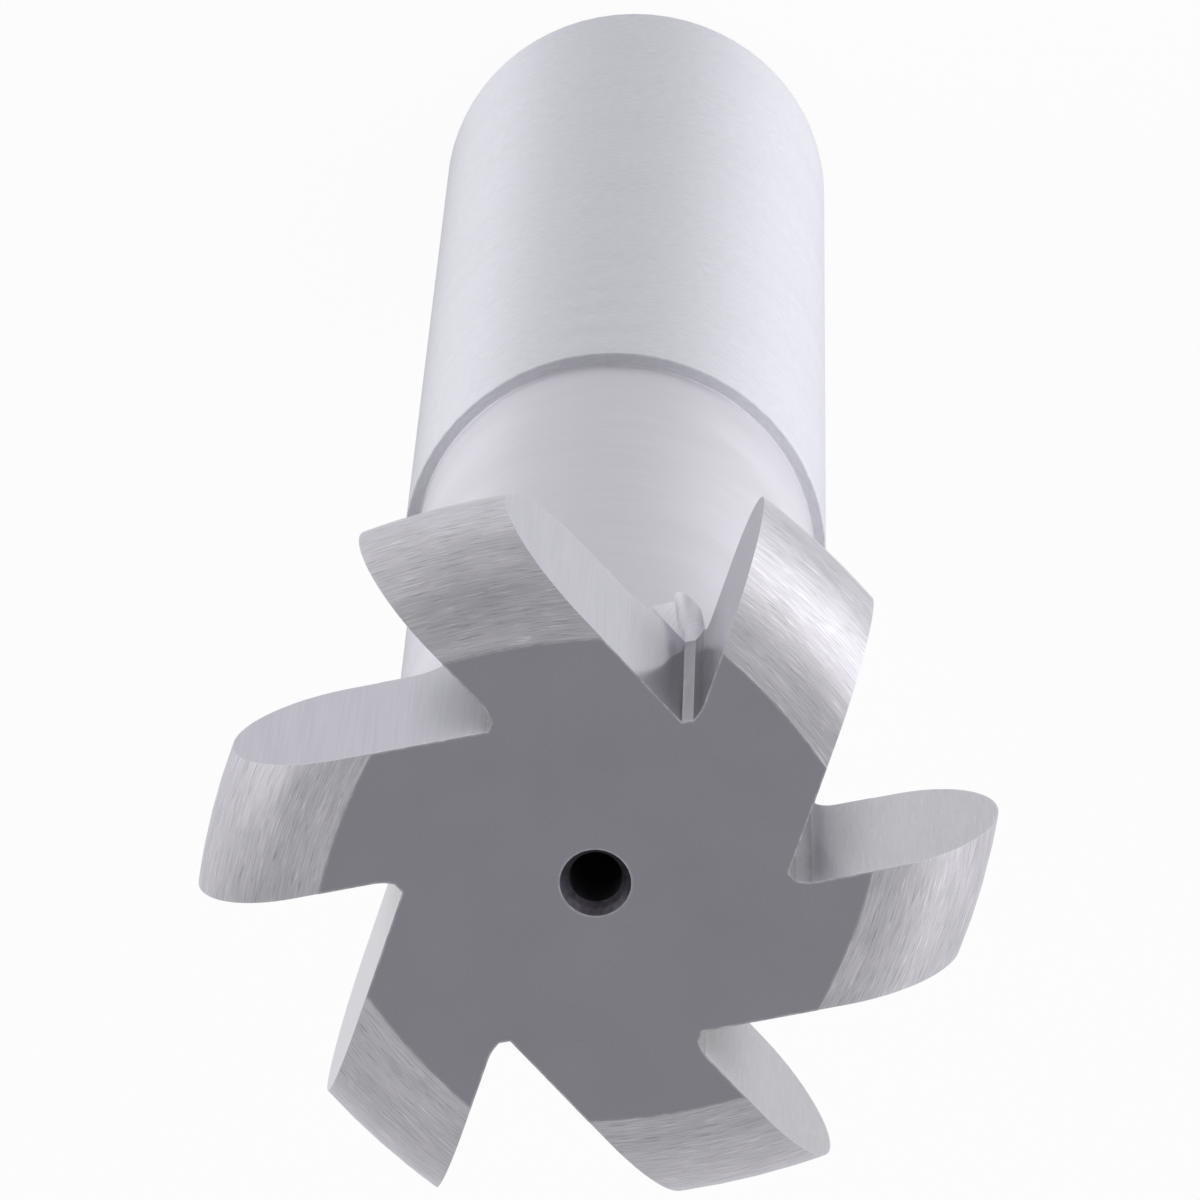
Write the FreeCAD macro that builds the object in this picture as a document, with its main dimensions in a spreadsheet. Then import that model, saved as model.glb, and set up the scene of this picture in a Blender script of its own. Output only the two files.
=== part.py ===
import FreeCAD, Part
import math
import os
import re
import Sketcher

# Convex radius cutter, one piece of high-speed steel, turned, fluted and form-relieved.
# It stands on the end of its shank: origin at the centre of that end, +Z along the axis
# towards the head, and the outermost point of one cutting edge on the +X axis.

OUTPUT_FOLDER = "parts"
NODE = "radius_cutter"
EDGE_TOLERANCE = 1e-4

# Driving dimensions, in millimetres and degrees.
DIMENSIONS = [
    ("overall_length", 91.4, "shank end to front face"),
    ("shank_diameter", 19.05, "plain shank, 3/4 in"),
    ("shank_length", 52.7, "shank end to shoulder"),
    ("shank_chamfer", 1.0, "at the shank end"),
    ("shoulder_step", 0.6, "from the shank down to the neck, on the radius"),
    ("shoulder_fillet", 0.1, "root of the shoulder on the neck"),
    ("shoulder_chamfer", 0.05, "outer edge of the shoulder"),
    ("cutter_diameter", 33.34, "over the cutting edges, 1-5/16 in"),
    ("profile_radius", 3.969, "convex form of the teeth, 5/32 in"),
    ("side_step", 0.04, "relief flank below each side of the head"),
    ("flank_run", 0.95, "straight flank inside the convex form"),
    ("head_fillet", 1.0, "back of the head on the neck"),
    ("grinding_stock", 0.35, "left on the turned head for the relief to remove"),
    ("tooth_count", 6, "teeth and gullets"),
    ("rake_angle", 6.0, "rake face from the radius through the tip"),
    ("gullet_root_depth", 1.207, "from the neck down to the line where the gullet's walls meet"),
    ("gullet_floor_height", 0.6, "flat floor above that line"),
    ("rake_foot_start", 1.45, "flat part of the rake face from that line"),
    ("rake_foot_radius", 2.0, "curve of the rake face from there to the floor"),
    ("gullet_overrun", 1.05, "full depth behind the head"),
    ("runout_radius", 1.9, "curve by which the gullet's walls leave the neck"),
    ("runout_reach", 2.8, "length of each wall that it takes along"),
    ("floor_runout_radius", 4.2, "longer curve by which the floor leaves the neck"),
    ("floor_runout_rim", 0.55, "half-round rim of the wheel that made it"),
    ("floor_runout_height", 1.2, "depth of that wheel's sides"),
    ("relief_offset", 14.3, "axis of the relief curve from the cutter's axis"),
    ("relief_direction", 150.0, "of that axis, from the tip it relieves"),
    ("relief_start", -10.5, "sweep of the relief about its own axis"),
    ("relief_end", -36.5, "sweep of the relief about its own axis"),
    ("centre_mouth_diameter", 2.95, "centre holes, at the face"),
    ("centre_bore_diameter", 2.2, "centre holes, pilot"),
    ("centre_cone_angle", 60.0, "included angle of the mouth"),
    ("centre_depth", 6.5, "face to the end of the pilot's wall"),
    ("centre_tip_angle", 118.0, "included angle of the pilot's end"),
    ("sweep_clearance", 1.0, "how far the cutting sections pass the solid"),
]

# Values worked out in the sheet from the driving dimensions.
DERIVED = [
    ("shank_radius", "=shank_diameter / 2"),
    ("neck_radius", "=shank_radius - shoulder_step"),
    ("cutter_radius", "=cutter_diameter / 2"),
    ("blank_radius", "=cutter_radius + grinding_stock"),
    ("head_width", "=2 * (profile_radius + side_step)"),
    ("head_back", "=overall_length - head_width"),
    ("gullet_end", "=head_back - gullet_overrun"),
    ("rake_offset", "=cutter_radius * sin(rake_angle * 1 deg)"),
    ("gullet_angle", "=360 / tooth_count"),
    ("gullet_root_radius", "=neck_radius - gullet_root_depth"),
    ("gullet_root", "=sqrt(pow(gullet_root_radius; 2) - pow(rake_offset; 2))"),
    ("relief_axis_along", "=relief_offset * cos(relief_direction * 1 deg)"),
    ("relief_axis_across", "=relief_offset * sin(relief_direction * 1 deg)"),
    ("relief_reach", "=sqrt(pow(cutter_radius - relief_axis_along; 2) + pow(relief_axis_across; 2))"),
    ("relief_middle", "=(relief_start + relief_end) / 2"),
    ("relief_sweep", "=relief_start - relief_end"),
]


def make_sheet(document):
    sheet = document.addObject("Spreadsheet::Sheet", "Dimensions")
    row = 0
    for alias, value, note in DIMENSIONS:
        row += 1
        sheet.set(f"A{row}", note)
        sheet.set(f"B{row}", str(value))
        sheet.setAlias(f"B{row}", alias)
    document.recompute()
    for alias, formula in DERIVED:
        row += 1
        sheet.set(f"A{row}", alias.replace("_", " "))
        sheet.set(f"B{row}", formula)
        sheet.setAlias(f"B{row}", alias)
        document.recompute()
    return sheet


def cell(formula):
    """An expression on the sheet: each word that is an alias becomes a reference to its cell."""
    for entry in DIMENSIONS + DERIVED:
        formula = re.sub(rf"\b{entry[0]}\b", f"Dimensions.{entry[0]}", formula)
    return formula


def origin_plane(body, role):
    for feature in body.Origin.OriginFeatures:
        if feature.Role == role:
            return feature
    raise ValueError(f"no origin feature {role}")


def new_sketch(body, name, role):
    sketch = body.newObject("Sketcher::SketchObject", name)
    sketch.AttachmentSupport = [(origin_plane(body, role), "")]
    sketch.MapMode = "FlatFace"
    return sketch


def add_lines(sketch, points):
    """A closed chain of lines through the points, joined end to end; returns their numbers."""
    numbers = []
    for index, start in enumerate(points):
        end = points[(index + 1) % len(points)]
        segment = Part.LineSegment(FreeCAD.Vector(*start, 0), FreeCAD.Vector(*end, 0))
        numbers.append(sketch.addGeometry(segment, False))
    for index, number in enumerate(numbers):
        following = numbers[(index + 1) % len(numbers)]
        sketch.addConstraint(Sketcher.Constraint("Coincident", number, 2, following, 1))
    return numbers


def lock_point(sketch, geometry, end, across, up):
    """Ties a point to the sheet by its distances from the sketch's two axes; 0 puts it on one."""
    for kind, formula in (("DistanceX", across), ("DistanceY", up)):
        if formula == "0":
            axis = -2 if kind == "DistanceX" else -1
            sketch.addConstraint(Sketcher.Constraint("PointOnObject", geometry, end, axis))
            continue
        point = sketch.getPoint(geometry, end)
        value = point.x if kind == "DistanceX" else point.y
        constraint = Sketcher.Constraint(kind, -1, 1, geometry, end, value)
        number = sketch.addConstraint(constraint)
        sketch.setExpression(f"Constraints[{number}]", cell(formula))


def size(sheet, alias):
    return float(getattr(sheet, alias))


def turned_blank(body, sheet):
    """Shank, neck and head as they leave the lathe."""
    length = size(sheet, "overall_length")
    shank = size(sheet, "shank_radius")
    neck = size(sheet, "neck_radius")
    head = size(sheet, "blank_radius")
    shoulder = size(sheet, "shank_length")
    back = size(sheet, "head_back")
    outline = [
        ((0, 0), "0", "0"),
        ((shank, 0), "shank_radius", "0"),
        ((shank, shoulder), "shank_radius", "shank_length"),
        ((neck, shoulder), "neck_radius", "shank_length"),
        ((neck, back), "neck_radius", "head_back"),
        ((head, back), "blank_radius", "head_back"),
        ((head, length), "blank_radius", "overall_length"),
        ((0, length), "0", "overall_length"),
    ]
    sketch = new_sketch(body, "blank_section", "XZ_Plane")
    lines = add_lines(sketch, [entry[0] for entry in outline])
    for number, entry in zip(lines, outline):
        lock_point(sketch, number, 1, entry[1], entry[2])
    blank = body.newObject("PartDesign::Revolution", "turned_blank")
    blank.Profile = sketch
    blank.ReferenceAxis = (sketch, ["V_Axis"])
    blank.Angle = 360
    return blank


def circle_edges(shape, radius, height):
    """Names of the full circles of this radius about the axis at this height."""
    names = []
    for index, edge in enumerate(shape.Edges, start=1):
        curve = edge.Curve
        if not isinstance(curve, Part.Circle):
            continue
        near_radius = abs(curve.Radius - radius) < EDGE_TOLERANCE
        near_height = abs(curve.Center.z - height) < EDGE_TOLERANCE
        if near_radius and near_height:
            names.append(f"Edge{index}")
    return names


def dress_circle(body, base, kind, name, formula, radius, height):
    """A fillet or chamfer on one turned edge of the feature before it."""
    feature = body.newObject(f"PartDesign::{kind}", name)
    feature.Base = (base, circle_edges(base.Shape, radius, height))
    target = "Radius" if kind == "Fillet" else "Size"
    feature.setExpression(target, cell(formula))
    return feature


def centre_hole(body, sheet, name, at_front):
    """A centre-drilled hole on the axis, from the front face or from the shank's end."""
    mouth = size(sheet, "centre_mouth_diameter") / 2
    bore = size(sheet, "centre_bore_diameter") / 2
    face = size(sheet, "overall_length") if at_front else 0.0
    inward = -1 if at_front else 1
    cone = (mouth - bore) / math.tan(math.radians(size(sheet, "centre_cone_angle") / 2))
    depth = size(sheet, "centre_depth")
    tip = depth + bore / math.tan(math.radians(size(sheet, "centre_tip_angle") / 2))
    start = "overall_length" if at_front else "0"
    sign = "-" if at_front else "+"
    cone_formula = "(centre_mouth_diameter - centre_bore_diameter) / 2 / tan(centre_cone_angle / 2 * 1 deg)"
    tip_formula = "centre_depth + centre_bore_diameter / 2 / tan(centre_tip_angle / 2 * 1 deg)"
    outline = [
        ((0, face), "0", start),
        ((mouth, face), "centre_mouth_diameter / 2", start),
        ((bore, face + inward * cone), "centre_bore_diameter / 2", f"{start} {sign} {cone_formula}"),
        ((bore, face + inward * depth), "centre_bore_diameter / 2", f"{start} {sign} centre_depth"),
        ((0, face + inward * tip), "0", f"{start} {sign} ({tip_formula})"),
    ]
    sketch = new_sketch(body, f"{name}_section", "XZ_Plane")
    lines = add_lines(sketch, [entry[0] for entry in outline])
    for number, entry in zip(lines, outline):
        lock_point(sketch, number, 1, entry[1], entry[2])
    groove = body.newObject("PartDesign::Groove", name)
    groove.Profile = sketch
    groove.ReferenceAxis = (sketch, ["V_Axis"])
    groove.Angle = 360
    return groove


def turned_sketch(body, sheet, name, height_alias):
    """A sketch across the axis, turned by the rake angle."""
    sketch = new_sketch(body, name, "XY_Plane")
    turned = FreeCAD.Rotation(FreeCAD.Vector(0, 0, 1), size(sheet, "rake_angle"))
    height = FreeCAD.Vector(0, 0, size(sheet, height_alias))
    sketch.AttachmentOffset = FreeCAD.Placement(height, turned)
    sketch.setExpression("AttachmentOffset.Base.z", cell(height_alias))
    sketch.setExpression("AttachmentOffset.Rotation.Angle", cell("rake_angle"))
    return sketch


def gullet_section(body, sheet, name, height_alias, reach_alias):
    """The V between one rake face and the next tooth's heel, with its narrow flat floor.

    The rake face runs along the turned sketch's horizontal, and the heel face rises at
    the angle between teeth.
    The floor crosses both walls at the same angle, and the rake face curves down to it.
    """
    rake = size(sheet, "rake_offset")
    root = size(sheet, "gullet_root")
    reach = size(sheet, reach_alias)
    opening = math.radians(size(sheet, "gullet_angle"))
    wall = size(sheet, "gullet_floor_height") / math.cos(opening / 2)
    flat = size(sheet, "rake_foot_start")
    radius = size(sheet, "rake_foot_radius")
    sketch = turned_sketch(body, sheet, name, height_alias)

    heel_way = FreeCAD.Vector(math.cos(opening), math.sin(opening), 0)
    vertex = FreeCAD.Vector(root, -rake, 0)
    rake_start = vertex + FreeCAD.Vector(flat, 0, 0)
    rake_end = vertex + FreeCAD.Vector(reach, 0, 0)
    heel_start = vertex + heel_way * wall
    heel_end = vertex + heel_way * reach
    floor_foot = vertex + FreeCAD.Vector(wall, 0, 0)
    centre = rake_start + FreeCAD.Vector(0, radius, 0)
    down = (floor_foot - heel_start).normalize()
    along = (centre - heel_start).dot(down)
    offset = (heel_start + down * along - centre).Length
    floor_end = heel_start + down * (along + math.sqrt(radius ** 2 - offset ** 2))
    foot_start = math.atan2(floor_end.y - centre.y, floor_end.x - centre.x) + 2 * math.pi

    rake_line = sketch.addGeometry(Part.LineSegment(rake_start, rake_end), False)
    mouth_line = sketch.addGeometry(Part.LineSegment(rake_end, heel_end), False)
    heel_line = sketch.addGeometry(Part.LineSegment(heel_end, heel_start), False)
    floor = sketch.addGeometry(Part.LineSegment(heel_start, floor_end), False)
    circle = Part.Circle(centre, FreeCAD.Vector(0, 0, 1), radius)
    foot = sketch.addGeometry(Part.ArcOfCircle(circle, foot_start, math.pi * 3 / 2), False)
    mark = sketch.addGeometry(Part.Point(floor_foot), True)

    sketch.addConstraint(Sketcher.Constraint("Coincident", rake_line, 2, mouth_line, 1))
    sketch.addConstraint(Sketcher.Constraint("Coincident", mouth_line, 2, heel_line, 1))
    sketch.addConstraint(Sketcher.Constraint("Coincident", heel_line, 2, floor, 1))
    sketch.addConstraint(Sketcher.Constraint("Coincident", floor, 2, foot, 1))
    sketch.addConstraint(Sketcher.Constraint("Tangent", foot, 2, rake_line, 1))
    sketch.addConstraint(Sketcher.Constraint("PointOnObject", mark, 1, floor))
    number = sketch.addConstraint(Sketcher.Constraint("Radius", foot, radius))
    sketch.setExpression(f"Constraints[{number}]", cell("rake_foot_radius"))
    wall_formula = "gullet_floor_height / cos(gullet_angle / 2 * 1 deg)"
    lock_point(sketch, mark, 1, f"gullet_root + {wall_formula}", "- rake_offset")
    lock_point(sketch, rake_line, 1, "gullet_root + rake_foot_start", "- rake_offset")
    lock_point(sketch, rake_line, 2, f"gullet_root + {reach_alias}", "- rake_offset")
    for end, length in ((1, reach_alias), (2, wall_formula)):
        across = f"gullet_root + {length} * cos(gullet_angle * 1 deg)"
        up = f"{length} * sin(gullet_angle * 1 deg) - rake_offset"
        lock_point(sketch, heel_line, end, across, up)
    return sketch


def gullet(body, sheet):
    """The straight part of one gullet, cut through the head from its front face."""
    sketch = gullet_section(body, sheet, "gullet_cut_section", "overall_length", "cutter_radius")
    cut = body.newObject("PartDesign::Pocket", "gullet_cut")
    cut.Profile = sketch
    cut.Type = 0
    cut.setExpression("Length", cell("overall_length - gullet_end"))
    return cut


def bisector_point(sheet, height, across=0.0):
    """A point of the gullet's section: how high above the line where its walls would meet,
    and how far from the middle between them towards the rake face."""
    half = math.radians(size(sheet, "gullet_angle")) / 2
    x = size(sheet, "gullet_root") + height * math.cos(half) + across * math.sin(half)
    y = height * math.sin(half) - across * math.cos(half) - size(sheet, "rake_offset")
    return FreeCAD.Vector(x, y, 0)


def lock_bisector_point(sketch, geometry, end, height, across="0"):
    """Ties a point to the sheet in the way of bisector_point."""
    half = "gullet_angle / 2 * 1 deg"
    x = f"gullet_root + ({height}) * cos({half}) + ({across}) * sin({half})"
    y = f"({height}) * sin({half}) - ({across}) * cos({half}) - rake_offset"
    lock_point(sketch, geometry, end, x, y)


def wheel_axis(sketch, sheet, radius_alias):
    """The axis of the wheel that leaves the neck, along the floor and above it."""
    height = size(sheet, "gullet_floor_height") + size(sheet, radius_alias)
    width = size(sheet, "gullet_floor_height")
    ends = (bisector_point(sheet, height), bisector_point(sheet, height, width))
    axis = sketch.addGeometry(Part.LineSegment(*ends), True)
    formula = f"gullet_floor_height + {radius_alias}"
    lock_bisector_point(sketch, axis, 1, formula)
    lock_bisector_point(sketch, axis, 2, formula, "gullet_floor_height")


def run_out(body, sketch, name):
    """Turns the section a quarter round the wheel's axis, away from the head."""
    cut = body.newObject("PartDesign::Groove", name)
    cut.Profile = sketch
    cut.ReferenceAxis = (sketch, ["Axis0"])
    cut.Angle = 90
    return cut


def wall_runout(body, sheet):
    """The short curve by which the gullet's walls leave the neck behind the head."""
    sketch = gullet_section(body, sheet, "wall_runout_section", "gullet_end", "runout_reach")
    wheel_axis(sketch, sheet, "runout_radius")
    return run_out(body, sketch, "wall_runout")


def floor_runout(body, sheet):
    """The longer curve by which the gullet's floor leaves it, made by a round-rimmed wheel."""
    sketch = turned_sketch(body, sheet, "floor_runout_section", "gullet_end")
    floor = size(sheet, "gullet_floor_height")
    rim = size(sheet, "floor_runout_rim")
    rise = size(sheet, "floor_runout_height")
    centre = bisector_point(sheet, floor + rim)
    heel_foot = bisector_point(sheet, floor + rim, -rim)
    rake_foot = bisector_point(sheet, floor + rim, rim)
    rake_top = bisector_point(sheet, floor + rise, rim)
    heel_top = bisector_point(sheet, floor + rise, -rim)

    circle = Part.Circle(centre, FreeCAD.Vector(0, 0, 1), rim)
    start = math.atan2(heel_foot.y - centre.y, heel_foot.x - centre.x)
    bottom = sketch.addGeometry(Part.ArcOfCircle(circle, start, start + math.pi), False)
    rake_side = sketch.addGeometry(Part.LineSegment(rake_foot, rake_top), False)
    top = sketch.addGeometry(Part.LineSegment(rake_top, heel_top), False)
    heel_side = sketch.addGeometry(Part.LineSegment(heel_top, heel_foot), False)
    sketch.addConstraint(Sketcher.Constraint("Tangent", bottom, 2, rake_side, 1))
    sketch.addConstraint(Sketcher.Constraint("Coincident", rake_side, 2, top, 1))
    sketch.addConstraint(Sketcher.Constraint("Coincident", top, 2, heel_side, 1))
    sketch.addConstraint(Sketcher.Constraint("Tangent", heel_side, 2, bottom, 1))
    lock_bisector_point(sketch, bottom, 3, "gullet_floor_height + floor_runout_rim")
    level = "gullet_floor_height + floor_runout_height"
    lock_bisector_point(sketch, rake_side, 2, level, "floor_runout_rim")
    lock_bisector_point(sketch, top, 2, level, "-floor_runout_rim")
    wheel_axis(sketch, sheet, "floor_runout_radius")
    return run_out(body, sketch, "floor_runout")


def tooth_relief(body, sheet):
    """The convex form of one tooth, ground about an axis beside the cutter's own.

    The section is what the wheel takes away: everything outside the convex form, with a
    short straight flank on each side of it. It turns about the offset axis, so that the
    tooth falls away behind its cutting edge and keeps its form.
    """
    along = size(sheet, "relief_axis_along")
    across = size(sheet, "relief_axis_across")
    top = size(sheet, "overall_length")
    width = size(sheet, "head_width")
    step = size(sheet, "side_step")
    radius = size(sheet, "profile_radius")
    centre = size(sheet, "relief_reach") - radius
    inner = centre - size(sheet, "flank_run")
    margin = size(sheet, "sweep_clearance")
    outer = size(sheet, "relief_reach") + size(sheet, "grinding_stock") + margin
    front = top - step
    back = top - width + step

    sketch = new_sketch(body, "relief_section", "XZ_Plane")
    turned = FreeCAD.Rotation(FreeCAD.Vector(0, 1, 0), size(sheet, "relief_middle"))
    sketch.AttachmentOffset = FreeCAD.Placement(FreeCAD.Vector(along, 0, -across), turned)
    sketch.setExpression("AttachmentOffset.Base.x", cell("relief_axis_along"))
    sketch.setExpression("AttachmentOffset.Base.z", cell("- relief_axis_across"))
    sketch.setExpression("AttachmentOffset.Rotation.Angle", cell("relief_middle"))

    centre_formula = "relief_reach - profile_radius"
    inner_formula = f"{centre_formula} - flank_run"
    outer_formula = "relief_reach + grinding_stock + sweep_clearance"
    front_formula = "overall_length - side_step"
    back_formula = "head_back + side_step"
    corners = [
        ((centre, back), centre_formula, back_formula),
        ((inner, back), inner_formula, back_formula),
        ((inner, back - margin), inner_formula, f"{back_formula} - sweep_clearance"),
        ((outer, back - margin), outer_formula, f"{back_formula} - sweep_clearance"),
        ((outer, top + margin), outer_formula, "overall_length + sweep_clearance"),
        ((inner, top + margin), inner_formula, "overall_length + sweep_clearance"),
        ((inner, front), inner_formula, front_formula),
        ((centre, front), centre_formula, front_formula),
    ]
    lines = []
    for start, end in zip(corners, corners[1:]):
        segment = Part.LineSegment(FreeCAD.Vector(*start[0], 0), FreeCAD.Vector(*end[0], 0))
        lines.append(sketch.addGeometry(segment, False))
    for first, second in zip(lines, lines[1:]):
        sketch.addConstraint(Sketcher.Constraint("Coincident", first, 2, second, 1))
    middle = FreeCAD.Vector(centre, (front + back) / 2, 0)
    circle = Part.Circle(middle, FreeCAD.Vector(0, 0, 1), radius)
    form = sketch.addGeometry(Part.ArcOfCircle(circle, -math.pi / 2, math.pi / 2), False)
    sketch.addConstraint(Sketcher.Constraint("Coincident", form, 1, lines[0], 1))
    sketch.addConstraint(Sketcher.Constraint("Coincident", form, 2, lines[-1], 2))
    sketch.addConstraint(Sketcher.Constraint("Vertical", form, 3, form, 1))
    for number, corner in zip(lines, corners):
        lock_point(sketch, number, 1, corner[1], corner[2])
    lock_point(sketch, lines[-1], 2, corners[-1][1], corners[-1][2])

    cut = body.newObject("PartDesign::Groove", "tooth_relief")
    cut.Profile = sketch
    cut.ReferenceAxis = (sketch, ["V_Axis"])
    cut.Midplane = True
    cut.setExpression("Angle", cell("relief_sweep"))
    return cut


def repeat_round_axis(body, name, features):
    """One copy of the features for each tooth."""
    pattern = body.newObject("PartDesign::PolarPattern", name)
    pattern.Originals = features
    pattern.Axis = (origin_plane(body, "Z_Axis"), [""])
    pattern.Angle = 360
    pattern.setExpression("Occurrences", cell("tooth_count"))
    body.Tip = pattern
    return pattern


def check_cut(document, before, feature):
    """Stops when a cut took nothing away."""
    document.recompute()
    taken = before - feature.Shape.Volume
    print(f"{feature.Name}: takes {taken:.2f} mm3")
    if taken <= 0:
        raise RuntimeError(f"{feature.Name} cuts nothing")
    return feature.Shape.Volume


def build(document):
    sheet = make_sheet(document)
    body = document.addObject("PartDesign::Body", "Body")
    body.Label = NODE

    blank = turned_blank(body, sheet)
    document.recompute()
    shank = size(sheet, "shank_radius")
    neck = size(sheet, "neck_radius")
    shoulder = size(sheet, "shank_length")
    back = size(sheet, "head_back")
    steps = [
        ("Chamfer", "shank_end_chamfer", "shank_chamfer", shank, 0.0),
        ("Chamfer", "shoulder_edge_chamfer", "shoulder_chamfer", shank, shoulder),
        ("Fillet", "shoulder_root_fillet", "shoulder_fillet", neck, shoulder),
        ("Fillet", "head_root_fillet", "head_fillet", neck, back),
    ]
    last = blank
    for kind, name, formula, radius, height in steps:
        last = dress_circle(body, last, kind, name, formula, radius, height)
        document.recompute()

    volume = last.Shape.Volume
    volume = check_cut(document, volume, centre_hole(body, sheet, "front_centre_hole", True))
    volume = check_cut(document, volume, centre_hole(body, sheet, "shank_centre_hole", False))
    cut = gullet(body, sheet)
    volume = check_cut(document, volume, cut)
    walls = wall_runout(body, sheet)
    volume = check_cut(document, volume, walls)
    floor = floor_runout(body, sheet)
    volume = check_cut(document, volume, floor)
    gullets = repeat_round_axis(body, "gullets", [cut, walls, floor])
    volume = check_cut(document, volume, gullets)
    relief = tooth_relief(body, sheet)
    volume = check_cut(document, volume, relief)
    teeth = repeat_round_axis(body, "relieved_teeth", [relief])
    check_cut(document, volume, teeth)
    return body


def check_document(document, bodies):
    for item in document.Objects:
        faults = [state for state in item.State if state in ("Invalid", "Error")]
        if faults:
            raise RuntimeError(f"{item.Name} is {faults}: {item.getStatusString()}")
    for body in bodies:
        if body.Shape.isNull() or not body.Shape.isValid():
            raise RuntimeError(f"{body.Label} has no valid shape")


def main():
    document = FreeCAD.newDocument("radius_cutter")
    body = build(document)
    document.recompute()
    check_document(document, [body])
    os.makedirs(OUTPUT_FOLDER, exist_ok=True)
    shape = body.Shape
    print(f"{body.Label}: {len(shape.Solids)} solid, {len(shape.Faces)} faces, {shape.Volume:.1f} mm3")
    print(shape.BoundBox)
    shape.exportStep(f"{OUTPUT_FOLDER}/{body.Label}.step")


main()
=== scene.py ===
"""A convex radius cutter of ground high-speed steel on a pale studio floor.

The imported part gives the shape. This file gives each of its surfaces the finish that its
tool left on it, and builds the floor, the light and the camera.
"""

import math
from collections import namedtuple

import bmesh
import bpy
from bpy.props import FloatProperty, FloatVectorProperty, IntProperty, PointerProperty
from bpy.types import Operator, Panel, PropertyGroup
from mathutils import Euler, Matrix, Vector


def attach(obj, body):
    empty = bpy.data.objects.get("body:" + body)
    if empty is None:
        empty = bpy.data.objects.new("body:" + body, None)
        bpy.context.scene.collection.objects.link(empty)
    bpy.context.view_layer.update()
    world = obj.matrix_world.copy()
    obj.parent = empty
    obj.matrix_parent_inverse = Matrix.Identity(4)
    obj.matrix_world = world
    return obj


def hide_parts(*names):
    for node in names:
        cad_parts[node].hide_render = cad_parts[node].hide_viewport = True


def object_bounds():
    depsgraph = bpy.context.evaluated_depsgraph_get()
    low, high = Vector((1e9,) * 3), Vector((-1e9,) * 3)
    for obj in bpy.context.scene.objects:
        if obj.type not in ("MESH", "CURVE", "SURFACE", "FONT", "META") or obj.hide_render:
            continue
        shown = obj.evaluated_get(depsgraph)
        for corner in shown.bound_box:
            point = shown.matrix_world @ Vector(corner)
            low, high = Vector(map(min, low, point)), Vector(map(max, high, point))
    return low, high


bl_info = {
    "name": "Convex radius cutter",
    "version": (1, 0, 0),
    "blender": (4, 5, 0),
    "location": "3D View > Sidebar > Cutter",
    "description": "Ground finishes, floor, light and camera for a convex radius cutter",
    "category": "Object",
}

NODE = "radius_cutter"
PIECE = "radius_cutter_ground"
BODY = "root"
LAY = "lay"

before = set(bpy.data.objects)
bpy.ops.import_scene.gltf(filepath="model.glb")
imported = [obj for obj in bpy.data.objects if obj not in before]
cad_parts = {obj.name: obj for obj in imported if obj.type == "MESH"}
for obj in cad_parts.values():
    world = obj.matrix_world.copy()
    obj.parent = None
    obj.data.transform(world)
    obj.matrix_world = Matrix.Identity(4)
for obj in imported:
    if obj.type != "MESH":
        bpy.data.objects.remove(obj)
CAD_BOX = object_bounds()
MM = 0.001

# How closely a point has to lie on one of the part's surfaces to belong to it, in metres: on a
# plane across the axis, on a turned surface, on a flat wall, and on the convex form's facets.
ON_PLANE = 0.001 * MM
ON_TURNED = 0.01 * MM
ON_WALL = 0.02 * MM
ON_FORM = 0.05 * MM
# The least cosine between a normal and an axis that counts as square to the surface.
SQUARE = 0.99
# The least rise of a normal on a turned end face.
FLAT = 0.999
# The largest rise of a normal on a wall that runs along the axis.
UPRIGHT = 0.02
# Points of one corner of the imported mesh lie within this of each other, in metres.
MERGE_REACH = 0.0005 * MM
# Faces that meet at a smaller angle are parts of one smooth surface.
SMOOTH_ANGLE = math.radians(20)
# The share of the pitch by which the middle of a tooth trails its tip.
TOOTH_TRAIL = 0.28
# A corner is moved this far towards its face's middle, so that it is counted to that tooth.
INWARD = 0.001
# Distance in mm between two teeth on the lay map, for each radian between them.
TEETH_APART = 17.0

# Length and width of one kind of mark in mm, and its share of the surface's brightness.
Marks = namedtuple("Marks", "length width strength")


def linear(text):
    """The linear colour that a renderer needs, from an sRGB hex value."""
    values = []
    for start in (0, 2, 4):
        part = int(text[start:start + 2], 16) / 255
        values.append(part / 12.92 if part <= 0.04045 else ((part + 0.055) / 1.055) ** 2.4)
    return (*values, 1.0)


WHITE = (1.0, 1.0, 1.0, 1.0)
# The brighter steel that the painted highlight along the edges mixes towards.
EDGE_HIGHLIGHT_STEEL = linear("EDEDF0")
# Radius of an edge in mm, and the patches in which a painted highlight brightens it.
EDGE_ROUNDING = 0.18
EDGE_HIGHLIGHT_PATCHES = Marks(0.5, 0.5, 0.65)
# How far out of a corner the painted shade reaches, in mm.
CORNER_SHADE_REACH = 4.5
# How much the roughness of one finish differs from place to place, as a share of it.
GLOSS_SPREAD = 0.1

# How white the floor is to the camera, and in the steel's reflections.
FLOOR_SEEN = 0.93
FLOOR_MIRRORED = 0.45

# The room's own light, and its pale sides. Each is brightest in its direction and fades to
# nothing 60 degrees away from it.
ROOM_LIGHT = 0.3
SIDE_FADE = math.cos(math.radians(60))
Side = namedtuple("Side", "direction light")
BRIGHT_SIDES = [
    Side((0.95, 0.0, 0.3), 1.2),
    Side((0.95, 0.3, -0.1), 0.4),
    Side((-0.95, 0.0, 0.3), 0.12),
    Side((-0.67, 0.67, 0.3), 0.3),
    Side((0.0, -0.9, 0.44), 0.35),
]

# Soft boxes: name, place in metres, side in metres, watts. They face a point at this share of
# the cutter's height.
BOX_TARGET = 0.8
SOFT_BOXES = [
    ("key_box", (0.66, 0.70, 0.78), 1.3, 1.0),
    ("fill_box", (-0.92, 0.50, 0.50), 0.95, 2.9),
]


def colour_property(name, text, use):
    return FloatVectorProperty(
        name=name, description=use, subtype="COLOR", size=4, min=0, max=1, default=linear(text)
    )


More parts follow.
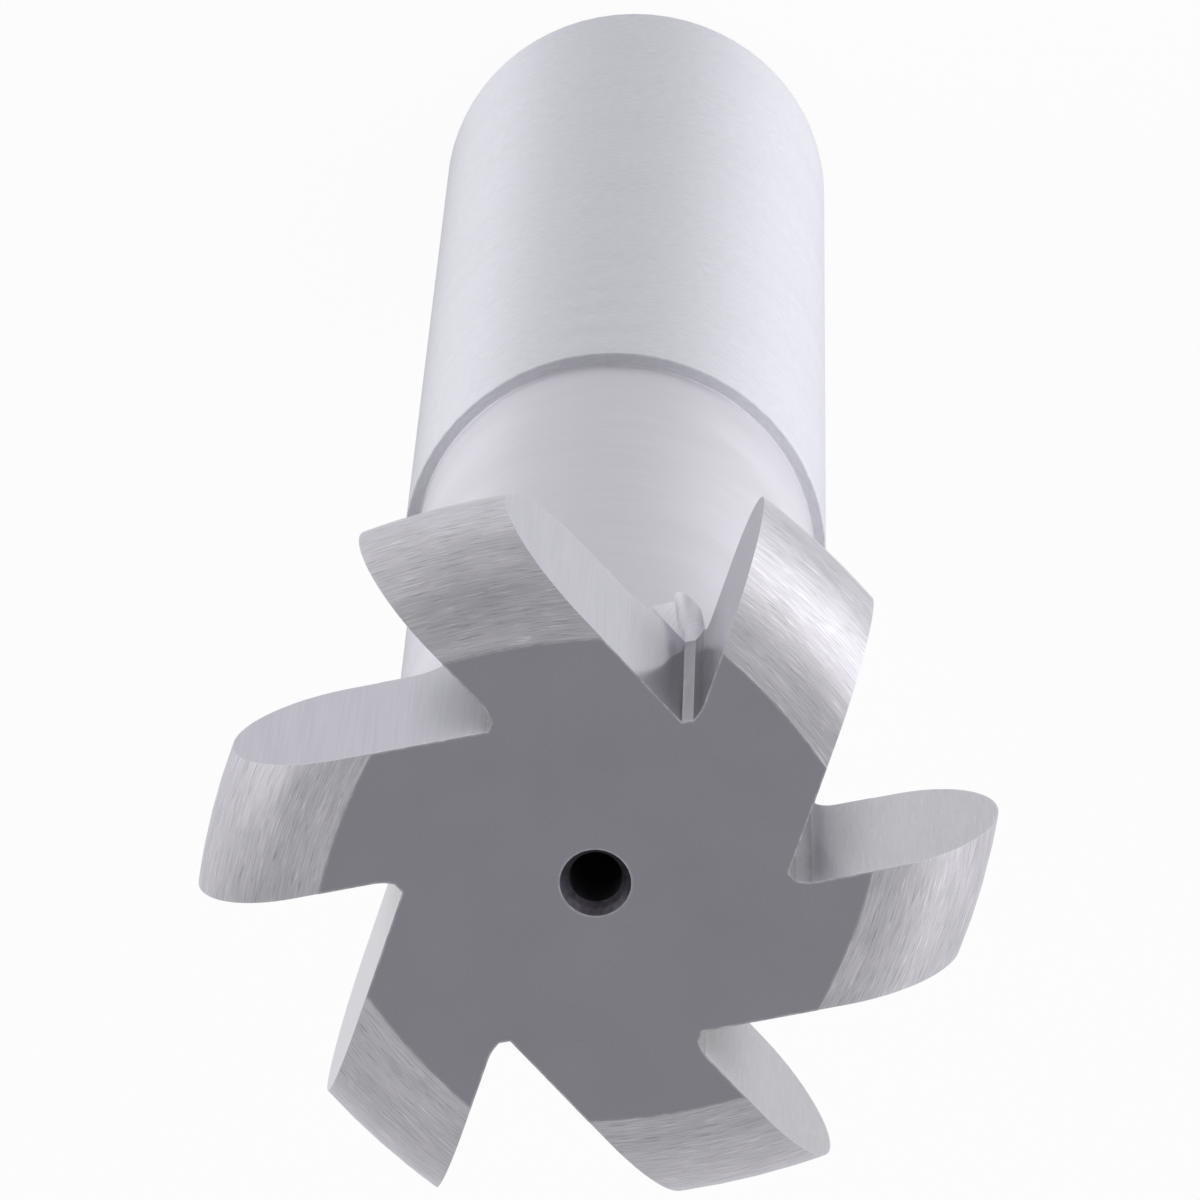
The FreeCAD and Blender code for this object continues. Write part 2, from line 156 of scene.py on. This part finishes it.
def length_property(name, millimetres, use):
    return FloatProperty(
        name=name, description=use, default=millimetres * MM, min=0, unit="LENGTH"
    )


def angle_property(name, degrees, use):
    return FloatProperty(
        name=name, description=use, default=math.radians(degrees), subtype="ANGLE"
    )


class CutterSizes(PropertyGroup):
    """The part's own sizes, by which its surfaces are told apart."""

    shank_length: length_property("Shank length", 52.7, "Shank end to shoulder")
    neck_radius: length_property("Neck radius", 8.925, "Turned neck")
    shoulder_fillet: length_property("Shoulder fillet", 0.1, "Root of the shoulder")
    head_fillet: length_property("Head fillet", 1.0, "Back of the head on the neck")
    head_width: length_property("Head width", 8.018, "Toothed head along the axis")
    gullet_overrun: length_property("Gullet overrun", 1.05, "Full depth behind the head")
    centre_reach: length_property("Centre reach", 1.6, "Largest radius of the centre holes")
    tooth_count: IntProperty(name="Teeth", description="Teeth and gullets", default=6, min=1)
    rake_angle: angle_property("Rake angle", 6.0, "Rake face from the radius through its tip")
    rake_offset: length_property("Rake offset", 1.7425, "Rake plane from the cutter's axis")
    heel_offset: length_property("Heel offset", 7.3825, "Heel plane from the cutter's axis")
    profile_radius: length_property("Profile radius", 3.969, "Convex form of the teeth")
    flank_run: length_property("Flank run", 0.95, "Straight flank inside the convex form")
    relief_offset: length_property("Relief offset", 14.3, "Relief axis from the cutter's axis")
    relief_direction: angle_property("Relief direction", 150.0, "Relief axis from the tip")
    relief_reach: length_property("Relief reach", 29.921, "Cutting edge from the relief axis")


class CutterFinish(PropertyGroup):
    """The colour of the steel on each kind of surface."""

    face: colour_property("Front face", "A3A2AB", "Lapped front face")
    relief: colour_property("Tooth form", "D8D6DC", "Form-ground convex teeth")
    rake: colour_property("Rake faces", "C8C7CD", "Ground rake faces")
    heel: colour_property("Heel faces", "C7C6D0", "Ground heel faces")
    floor: colour_property("Gullet floors", "A3A2A9", "Milled floor of each gullet")
    # Painted light: the run-outs have the gullet floors' milled finish in a much lighter
    # colour.
    runout: colour_property("Gullet run-outs", "E2E1E7", "Milled end of each gullet")
    neck: colour_property("Neck", "E2E1E8", "Turned neck")
    shank: colour_property("Shank", "E6E6ED", "Ground shank")
    bore: colour_property("Centre holes", "76737C", "Oily drilled centre holes")


class CutterStage(PropertyGroup):
    """The camera and the floor."""

    camera_place: FloatVectorProperty(
        name="Camera", description="Camera's place", subtype="XYZ", unit="LENGTH",
        default=(0.021944, 0.138848, 0.428),
    )
    camera_turn: FloatVectorProperty(
        name="Camera turn", description="Camera's turn about X, Y and Z", subtype="EULER",
        default=[math.radians(angle) for angle in (-20.808, 1.261, -5.883)],
    )
    camera_lens: FloatProperty(
        name="Lens", description="Focal length in mm on a 36 mm sensor", unit="CAMERA",
        default=266.55,
    )
    floor_size: FloatProperty(
        name="Floor", description="Side of the floor", default=3.0, unit="LENGTH"
    )
    floor: colour_property("Floor colour", "F4F4F6", "Pale studio floor")


def add_node(tree, kind, links=None, values=None, **settings):
    """One node with its settings, the values of its sockets and the links into them."""
    node = tree.nodes.new(kind)
    for name, setting in settings.items():
        setattr(node, name, setting)
    for socket, value in (values or {}).items():
        node.inputs[socket].default_value = value
    for socket, source in (links or {}).items():
        if isinstance(source, bpy.types.Node):
            source = source.outputs[0]
        tree.links.new(source, node.inputs[socket])
    return node


def fresh_material(name):
    material = bpy.data.materials.new(name)
    material.use_nodes = True
    material.node_tree.nodes.clear()
    return material


def noise_range(bottom, top, low=0.3, high=0.7):
    """Socket values that take noise, most of which lies from low to high, to bottom..top."""
    return {"From Min": low, "From Max": high, "To Min": bottom, "To Max": top}


def marks(tree, size, detail=3.0, shift=0.0):
    """Noise on the lay map, with grains of this length along U and this width across it."""
    lay = add_node(tree, "ShaderNodeUVMap", uv_map=LAY)
    place = add_node(
        tree, "ShaderNodeMapping", {"Vector": lay},
        {"Location": (shift, shift, 0), "Scale": (1 / size.length, 1 / size.width, 1)},
    )
    return add_node(
        tree, "ShaderNodeTexNoise", {"Vector": place},
        {"Scale": 1.0, "Detail": detail, "Roughness": 0.6},
    )


def worked_steel(name, colour, roughness, grain, band, scratches=None, depth=0.001,
                 edge_highlight=0.0, stretch=0.0, corner_shade=0.0):
    """Bare steel with the marks that one tool left.

    grain is the fine marks that run with the tool, band the broad unevenness under them, and
    scratches the few single ones. depth is the height of the grain in mm. edge_highlight is how
    far a painted highlight brightens the edges. stretch is the anisotropy, which draws each
    reflection out across the marks. corner_shade is how far painted shade darkens the corner
    that the face runs into.
    """
    material = fresh_material(name)
    tree = material.node_tree
    fine = marks(tree, grain)
    broad = marks(tree, band, detail=2.0, shift=7.3)
    fine_shade = add_node(
        tree, "ShaderNodeMapRange", {"Value": fine},
        noise_range(1 - grain.strength, 1 + grain.strength),
    )
    broad_shade = add_node(
        tree, "ShaderNodeMapRange", {"Value": broad},
        noise_range(1 - band.strength, 1 + band.strength),
    )
    shade = add_node(
        tree, "ShaderNodeMath", {0: fine_shade, 1: broad_shade}, operation="MULTIPLY"
    )
    if scratches:
        # Only the peaks of the noise are drawn, once as bright scratches and once as dark.
        for operation, shift in (("ADD", 31.7), ("SUBTRACT", 57.1)):
            single = marks(tree, scratches, detail=1.0, shift=shift)
            drawn = add_node(
                tree, "ShaderNodeMapRange", {"Value": single},
                noise_range(0.0, scratches.strength, low=0.64, high=0.7),
            )
            shade = add_node(tree, "ShaderNodeMath", {0: shade, 1: drawn}, operation=operation)
    if corner_shade:
        # Painted shade: the colour darkens where walls hide most of the room, and open faces
        # have none.
        corner = add_node(
            tree, "ShaderNodeAmbientOcclusion", values={"Distance": CORNER_SHADE_REACH * MM}, samples=6
        )
        painted_shade = add_node(
            tree, "ShaderNodeMapRange", {"Value": corner.outputs["AO"]},
            noise_range(1 - corner_shade, 1.0, low=0.35, high=0.8),
        )
        shade = add_node(tree, "ShaderNodeMath", {0: shade, 1: painted_shade}, operation="MULTIPLY")
    tint = add_node(
        tree, "ShaderNodeVectorMath", {0: shade}, {1: colour[:3]}, operation="MULTIPLY"
    )

    # A rounded normal differs from the true one only close to an edge. The painted highlight
    # along the edge starts where it is turned by 10 degrees and is full at 28.
    rounded = add_node(
        tree, "ShaderNodeBevel", values={"Radius": EDGE_ROUNDING * MM}, samples=4
    )
    true_face = add_node(tree, "ShaderNodeNewGeometry")
    turn = add_node(
        tree, "ShaderNodeVectorMath", {0: rounded, 1: true_face.outputs["Normal"]},
        operation="DOT_PRODUCT",
    )
    edge = add_node(
        tree, "ShaderNodeMapRange", {"Value": turn.outputs["Value"]},
        noise_range(0.0, edge_highlight, low=0.985, high=0.88),
    )
    patches = add_node(
        tree, "ShaderNodeMapRange", {"Value": marks(tree, EDGE_HIGHLIGHT_PATCHES, shift=11.9)},
        noise_range(1 - EDGE_HIGHLIGHT_PATCHES.strength, 1.0, low=0.4, high=0.6),
    )
    # Painted highlight: the edges are mixed towards a brighter steel, in patches.
    highlight_share = add_node(
        tree, "ShaderNodeMath", {0: edge, 1: patches}, operation="MULTIPLY"
    )
    # Inputs 6 and 7 and output 2 are the node's colours.
    base = add_node(
        tree, "ShaderNodeMix", {"Factor": highlight_share, 6: tint}, {7: EDGE_HIGHLIGHT_STEEL},
        data_type="RGBA",
    )

    bump = add_node(
        tree, "ShaderNodeBump", {"Height": fine}, {"Strength": 1.0, "Distance": depth * MM}
    )
    gloss = add_node(
        tree, "ShaderNodeMapRange", {"Value": broad},
        noise_range(roughness * (1 - GLOSS_SPREAD), roughness * (1 + GLOSS_SPREAD)),
    )
    shader = add_node(
        tree, "ShaderNodeBsdfPrincipled",
        {"Base Color": base.outputs[2], "Roughness": gloss, "Normal": bump},
        {"Metallic": 1.0},
    )
    if stretch:
        # A quarter turn, because the reflection spreads across the marks.
        along = add_node(tree, "ShaderNodeTangent", direction_type="UV_MAP", uv_map=LAY)
        tree.links.new(along.outputs[0], shader.inputs["Tangent"])
        shader.inputs["Anisotropic"].default_value = stretch
        shader.inputs["Anisotropic Rotation"].default_value = 0.25
    add_node(tree, "ShaderNodeOutputMaterial", {"Surface": shader})
    return material


def finishes(finish):
    """The surfaces in the order of their slots.

    The real marks are 0.01 to 0.03 mm apart, too fine to show, so they are drawn 0.05 to
    0.15 mm apart.
    """
    return [
        # Cylindrically ground: even fine marks round the shank, soft bright bands along it.
        worked_steel(
            "ground_shank_steel", finish.shank, 0.56,
            grain=Marks(0.5, 0.12, 0.06), band=Marks(9.0, 1.5, 0.02),
            scratches=Marks(2.0, 0.1, 0.03), stretch=0.85,
        ),
        # Fine-turned: faint rings under large soft patches where it was handled.
        worked_steel(
            "turned_neck_steel", finish.neck, 0.5,
            grain=Marks(5.0, 0.12, 0.015), band=Marks(8.0, 3.0, 0.035),
            scratches=Marks(3.0, 0.1, 0.03), depth=0.0005, stretch=0.85,
        ),
        # Lapped: an even dull grey with no direction, and a painted highlight as a bright
        # hairline at its edges.
        worked_steel(
            "lapped_face_steel", finish.face, 0.5,
            grain=Marks(0.15, 0.15, 0.02), band=Marks(4.0, 4.0, 0.005),
            depth=0.0005, edge_highlight=0.9,
        ),
        # Form-ground: coarse streaks along each tooth, and a highlight drawn across its form.
        worked_steel(
            "form_ground_steel", finish.relief, 0.43,
            grain=Marks(2.2, 0.055, 0.18), band=Marks(5.0, 0.8, 0.06),
            scratches=Marks(1.5, 0.045, 0.35), depth=0.0018, edge_highlight=0.2, stretch=0.6,
        ),
        # Ground rake: short marks along the axis, darkened by painted shade towards the
        # gullet's root.
        worked_steel(
            "ground_rake_steel", finish.rake, 0.22,
            grain=Marks(1.6, 0.12, 0.04), band=Marks(5.0, 1.5, 0.03),
            scratches=Marks(1.5, 0.1, 0.08), edge_highlight=0.5, stretch=0.2, corner_shade=0.65,
        ),
        # Fine-ground heel: the smoothest surface, near a mirror for the rake face beside it,
        # darkened by painted shade towards the gullet's root.
        worked_steel(
            "ground_heel_steel", finish.heel, 0.15,
            grain=Marks(6.0, 0.15, 0.05), band=Marks(9.0, 0.8, 0.03),
            depth=0.0002, edge_highlight=0.6, corner_shade=0.65,
        ),
        # Milled floor: greyer, with the cutter's marks across it, and a little painted shade in
        # its corners.
        worked_steel(
            "milled_floor_steel", finish.floor, 0.3,
            grain=Marks(4.0, 0.1, 0.06), band=Marks(7.0, 0.4, 0.04),
            scratches=Marks(2.0, 0.08, 0.1), edge_highlight=0.3, corner_shade=0.35,
        ),
        # Milled run-out: the floor's milled steel painted much lighter as painted light, dull
        # and without painted corner shade, so that it fades into the neck.
        worked_steel(
            "milled_runout_steel", finish.runout, 0.6,
            grain=Marks(4.0, 0.1, 0.04), band=Marks(7.0, 0.4, 0.04),
            scratches=Marks(2.0, 0.08, 0.1), edge_highlight=0.3,
        ),
        # Drilled: rings round the cone and the bore, dull with oil.
        worked_steel(
            "drilled_centre_steel", finish.bore, 0.45,
            grain=Marks(2.0, 0.12, 0.1), band=Marks(3.0, 0.5, 0.1),
            depth=0.002, edge_highlight=0.3,
        ),
    ]


SHANK, NECK, FACE, RELIEF, RAKE, HEEL, FLOOR, RUNOUT, BORE = range(9)


def turned(point, angle):
    """The point turned about Z by minus the angle, so that a tooth comes to rest on +X."""
    return Matrix.Rotation(-angle, 3, "Z") @ point


def tooth_angle(point, sizes):
    """The angle of the tooth that the point belongs to, which trails its tip."""
    pitch = 2 * math.pi / sizes.tooth_count
    return round(math.atan2(point.y, point.x) / pitch + TOOTH_TRAIL) * pitch


def wall_of(point, normal, sizes):
    """RAKE or HEEL for a flat wall along the axis, with the angle of its own plane."""
    pitch = 2 * math.pi / sizes.tooth_count
    for index in range(sizes.tooth_count):
        angle = index * pitch + sizes.rake_angle
        local = turned(point, angle)
        facing = turned(normal, angle)
        if local.x < 0 or abs(facing.z) > UPRIGHT:
            continue
        if abs(local.y + sizes.rake_offset) < ON_WALL and facing.y > SQUARE:
            return RAKE, angle
        if abs(local.y + sizes.heel_offset) < ON_WALL and facing.y < -SQUARE:
            return HEEL, angle
    return None, 0.0


def on_relief(point, sizes, top):
    """A point about its tooth's relief axis: sweep, reach from the form's centre, and rise."""
    angle = tooth_angle(point, sizes)
    axis = Vector((math.cos(sizes.relief_direction), math.sin(sizes.relief_direction), 0))
    local = turned(point, angle) - axis * sizes.relief_offset
    sweep = math.atan2(local.y, local.x) + angle
    reach = math.hypot(local.x, local.y) - (sizes.relief_reach - sizes.profile_radius)
    return sweep, reach, point.z - (top - sizes.head_width / 2)


def is_relief(centre, normal, sizes, top):
    """Whether a face belongs to the convex form of a tooth or to its flanks."""
    _, reach, rise = on_relief(centre, sizes, top)
    if reach > 0:
        return abs(math.hypot(reach, rise) - sizes.profile_radius) < ON_FORM
    beside = abs(abs(rise) - sizes.profile_radius) < ON_FORM
    past_flank = -sizes.flank_run - reach
    return beside and past_flank < ON_WALL and (abs(normal.z) > SQUARE or past_flank > -ON_WALL)


def fillet_of(points, sizes, top):
    """Centre on the meridian of the turned fillet that all the points lie on, or None."""
    head_back = top - sizes.head_width
    for rise, radius in (
        (sizes.shank_length + sizes.shoulder_fillet, sizes.shoulder_fillet),
        (head_back - sizes.head_fillet, sizes.head_fillet),
    ):
        reach = sizes.neck_radius + radius
        gaps = [
            abs(math.hypot(math.hypot(point.x, point.y) - reach, point.z - rise) - radius)
            for point in points
        ]
        if max(gaps) < ON_TURNED:
            return reach, rise
    return None


def surface_of(face, sizes, top):
    """Which finish a face of the cutter has, and the angle its marks are laid out from."""
    centre = face.calc_center_median()
    normal = face.normal
    radii = [math.hypot(vertex.co.x, vertex.co.y) for vertex in face.verts]
    if max(radii) < sizes.centre_reach and ON_TURNED < centre.z < top - ON_TURNED:
        return BORE, 0.0
    if centre.z > top - ON_PLANE and normal.z > SQUARE:
        return FACE, 0.0
    kind, angle = wall_of(centre, normal, sizes)
    if kind is not None:
        return kind, angle
    head_back = top - sizes.head_width
    if centre.z > head_back - ON_TURNED and is_relief(centre, normal, sizes, top):
        return RELIEF, 0.0
    if centre.z < sizes.shank_length + ON_PLANE:
        return SHANK, 0.0
    on_neck = max(abs(radius - sizes.neck_radius) for radius in radii) < ON_TURNED
    on_back = abs(centre.z - head_back) < ON_PLANE and normal.z < -SQUARE
    if on_neck or on_back or fillet_of([vertex.co for vertex in face.verts], sizes, top):
        return NECK, 0.0
    if centre.z < head_back - sizes.gullet_overrun:
        return RUNOUT, 0.0
    return FLOOR, 0.0


def near_angle(angle, reference):
    """The same direction, within half a turn of the reference."""
    return reference + math.remainder(angle - reference, 2 * math.pi)


def lay_of(kind, point, centre, angle, sizes, top):
    """A point's place on the lay map in mm: along the marks, and across them."""
    if kind == FACE:
        return point.x / MM, point.y / MM
    if kind in (RAKE, HEEL):
        return point.z / MM, turned(point, angle).x / MM
    if kind == RELIEF:
        sweep, reach, rise = on_relief(point.lerp(centre, INWARD), sizes, top)
        middle, _, _ = on_relief(centre, sizes, top)
        form = math.atan2(rise, max(reach, 0)) * sizes.profile_radius
        form += math.copysign(max(-reach, 0), rise)
        apart = TEETH_APART * tooth_angle(centre, sizes)
        return near_angle(sweep, middle) * sizes.relief_reach / MM, form / MM + apart
    radius = math.hypot(point.x, point.y)
    around = near_angle(math.atan2(point.y, point.x), math.atan2(centre.y, centre.x))
    if kind in (FLOOR, RUNOUT):
        return point.z / MM, around * radius / MM
    return around * sizes.neck_radius / MM, (point.z + radius) / MM


def normal_at(kind, face, point, sizes, top):
    """The exact normal of the turned or ground surface at a corner, or None on other ones."""
    if kind == FACE:
        return face.normal.copy()
    if kind == RELIEF and abs(face.normal.z) < SQUARE:
        centre = face.calc_center_median()
        sweep, reach, rise = on_relief(point.lerp(centre, INWARD), sizes, top)
        if reach < 0:
            reach, rise = 1.0, 0.0
        return Vector((math.cos(sweep) * reach, math.sin(sweep) * reach, rise)).normalized()
    if kind not in (SHANK, NECK, BORE):
        return None
    outward = Vector((point.x, point.y, 0)).normalized()
    fillet = fillet_of([vertex.co for vertex in face.verts], sizes, top)
    if fillet and kind == NECK:
        reach, rise = fillet
        away = reach - math.hypot(point.x, point.y)
        return (outward * away + Vector((0, 0, rise - point.z))).normalized()
    slope = face.normal.z
    if abs(slope) > FLAT:
        return Vector((0, 0, math.copysign(1, slope)))
    side = math.copysign(math.sqrt(1 - slope * slope), face.normal.dot(outward))
    return outward * side + Vector((0, 0, slope))


def cutter_body(sizes, finish):
    """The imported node, merged and smooth, with a finish for each kind of surface."""
    top = CAD_BOX[1].z
    mesh = bpy.data.meshes.new(PIECE)
    work = bmesh.new()
    work.from_mesh(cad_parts[NODE].data)
    bmesh.ops.remove_doubles(work, verts=work.verts, dist=MERGE_REACH)
    lay = work.loops.layers.uv.new(LAY)
    exact = []
    for face in work.faces:
        kind, angle = surface_of(face, sizes, top)
        face.material_index = kind
        face.smooth = True
        centre = face.calc_center_median()
        for loop in face.loops:
            loop[lay].uv = lay_of(kind, loop.vert.co, centre, angle, sizes, top)
            exact.append(normal_at(kind, face, loop.vert.co, sizes, top))
    for edge in work.edges:
        edge.smooth = len(edge.link_faces) == 2 and edge.calc_face_angle() < SMOOTH_ANGLE
    work.to_mesh(mesh)
    work.free()
    smooth = [corner.vector.copy() for corner in mesh.corner_normals]
    mesh.normals_split_custom_set([own or round_ for own, round_ in zip(exact, smooth)])
    for material in finishes(finish):
        mesh.materials.append(material)
    piece = bpy.data.objects.new(PIECE, mesh)
    bpy.context.scene.collection.objects.link(piece)
    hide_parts(NODE)
    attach(piece, BODY)
    return piece


def pale_floor(stage):
    """A matte floor with a soft shadow, nearly white to the camera and less so in the steel."""
    material = fresh_material("pale_floor")
    tree = material.node_tree
    path = add_node(tree, "ShaderNodeLightPath")
    for_camera = add_node(
        tree, "ShaderNodeMath", {0: path.outputs["Is Camera Ray"]}, {1: FLOOR_SEEN},
        operation="MULTIPLY",
    )
    for_steel = add_node(
        tree, "ShaderNodeMath", {0: path.outputs["Is Glossy Ray"]}, {1: FLOOR_MIRRORED},
        operation="MULTIPLY",
    )
    share = add_node(
        tree, "ShaderNodeMath", {0: for_camera, 1: for_steel}, operation="MAXIMUM"
    )
    matte = add_node(tree, "ShaderNodeBsdfDiffuse", values={"Color": stage.floor})
    white = add_node(tree, "ShaderNodeEmission", values={"Color": WHITE, "Strength": 1.0})
    mixed = add_node(tree, "ShaderNodeMixShader", {0: share, 1: matte, 2: white})
    add_node(tree, "ShaderNodeOutputMaterial", {"Surface": mixed})
    return material


def floor_piece(stage):
    mesh = bpy.data.meshes.new("studio_floor")
    work = bmesh.new()
    bmesh.ops.create_grid(work, x_segments=1, y_segments=1, size=stage.floor_size / 2)
    work.to_mesh(mesh)
    work.free()
    floor = bpy.data.objects.new("studio_floor", mesh)
    mesh.materials.append(pale_floor(stage))
    bpy.context.scene.collection.objects.link(floor)


def studio_world():
    """White for the camera, and for the light a pale room that is brighter on some sides."""
    world = bpy.data.worlds.new("studio")
    world.use_nodes = True
    tree = world.node_tree
    tree.nodes.clear()
    path = add_node(tree, "ShaderNodeLightPath")
    place = add_node(tree, "ShaderNodeTexCoord")
    room = add_node(tree, "ShaderNodeValue")
    room.outputs[0].default_value = ROOM_LIGHT
    for side in BRIGHT_SIDES:
        towards = add_node(
            tree, "ShaderNodeVectorMath", {0: place.outputs["Generated"]},
            {1: Vector(side.direction).normalized()}, operation="DOT_PRODUCT",
        )
        glow = add_node(
            tree, "ShaderNodeMapRange", {"Value": towards.outputs["Value"]},
            noise_range(0.0, side.light, low=SIDE_FADE, high=1.0),
        )
        room = add_node(tree, "ShaderNodeMath", {0: room, 1: glow}, operation="ADD")
    light = add_node(tree, "ShaderNodeBackground", {"Strength": room}, {"Color": WHITE})
    seen = add_node(tree, "ShaderNodeBackground", values={"Color": WHITE, "Strength": 1.0})
    mixed = add_node(
        tree, "ShaderNodeMixShader", {0: path.outputs["Is Camera Ray"], 1: light, 2: seen}
    )
    add_node(tree, "ShaderNodeOutputWorld", {"Surface": mixed})
    bpy.context.scene.world = world


def soft_boxes(target):
    """Two large area lamps that face the target."""
    for name, place, side, power in SOFT_BOXES:
        lamp = bpy.data.lights.new(name, "AREA")
        lamp.shape = "SQUARE"
        lamp.size = side
        lamp.energy = power
        holder = bpy.data.objects.new(name, lamp)
        holder.location = place
        holder.rotation_euler = (target - Vector(place)).to_track_quat("-Z", "Y").to_euler()
        bpy.context.scene.collection.objects.link(holder)


def camera(stage):
    """The camera at the photograph's viewing angle."""
    lens = bpy.data.cameras.new("camera")
    lens.lens = stage.camera_lens
    lens.sensor_width = 36.0
    lens.clip_start = 0.01
    lens.clip_end = 10.0
    holder = bpy.data.objects.new("camera", lens)
    holder.location = stage.camera_place
    holder.rotation_euler = Euler(stage.camera_turn)
    bpy.context.scene.collection.objects.link(holder)
    bpy.context.scene.camera = holder


class CUTTER_OT_body(Operator):
    """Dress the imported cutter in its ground, turned and milled finishes"""

    bl_idname = "cutter.body"
    bl_label = "Cutter"

    def execute(self, context):
        cutter_body(context.scene.cutter_sizes, context.scene.cutter_finish)
        return {"FINISHED"}


class CUTTER_OT_stage(Operator):
    """Build the floor, the light and the camera"""

    bl_idname = "cutter.stage"
    bl_label = "Stage"

    def execute(self, context):
        stage = context.scene.cutter_stage
        floor_piece(stage)
        studio_world()
        soft_boxes(Vector((0, 0, CAD_BOX[1].z * BOX_TARGET)))
        camera(stage)
        context.scene.view_settings.view_transform = "Standard"
        return {"FINISHED"}


class CUTTER_PT_panel(Panel):
    """Sizes, finishes and stage of the cutter"""

    bl_idname = "CUTTER_PT_panel"
    bl_label = "Radius cutter"
    bl_space_type = "VIEW_3D"
    bl_region_type = "UI"
    bl_category = "Cutter"

    def draw(self, context):
        layout = self.layout
        scene = context.scene
        for group in (scene.cutter_sizes, scene.cutter_finish, scene.cutter_stage):
            box = layout.box()
            for name in group.__annotations__:
                box.prop(group, name)
        layout.operator(CUTTER_OT_body.bl_idname)
        layout.operator(CUTTER_OT_stage.bl_idname)


CLASSES = (
    CutterSizes,
    CutterFinish,
    CutterStage,
    CUTTER_OT_body,
    CUTTER_OT_stage,
    CUTTER_PT_panel,
)


def register():
    for item in CLASSES:
        bpy.utils.register_class(item)
    bpy.types.Scene.cutter_sizes = PointerProperty(type=CutterSizes)
    bpy.types.Scene.cutter_finish = PointerProperty(type=CutterFinish)
    bpy.types.Scene.cutter_stage = PointerProperty(type=CutterStage)


def unregister():
    del bpy.types.Scene.cutter_stage
    del bpy.types.Scene.cutter_finish
    del bpy.types.Scene.cutter_sizes
    for item in reversed(CLASSES):
        bpy.utils.unregister_class(item)


def main():
    register()
    bpy.ops.cutter.body()
    bpy.ops.cutter.stage()


if __name__ == "__main__":
    main()
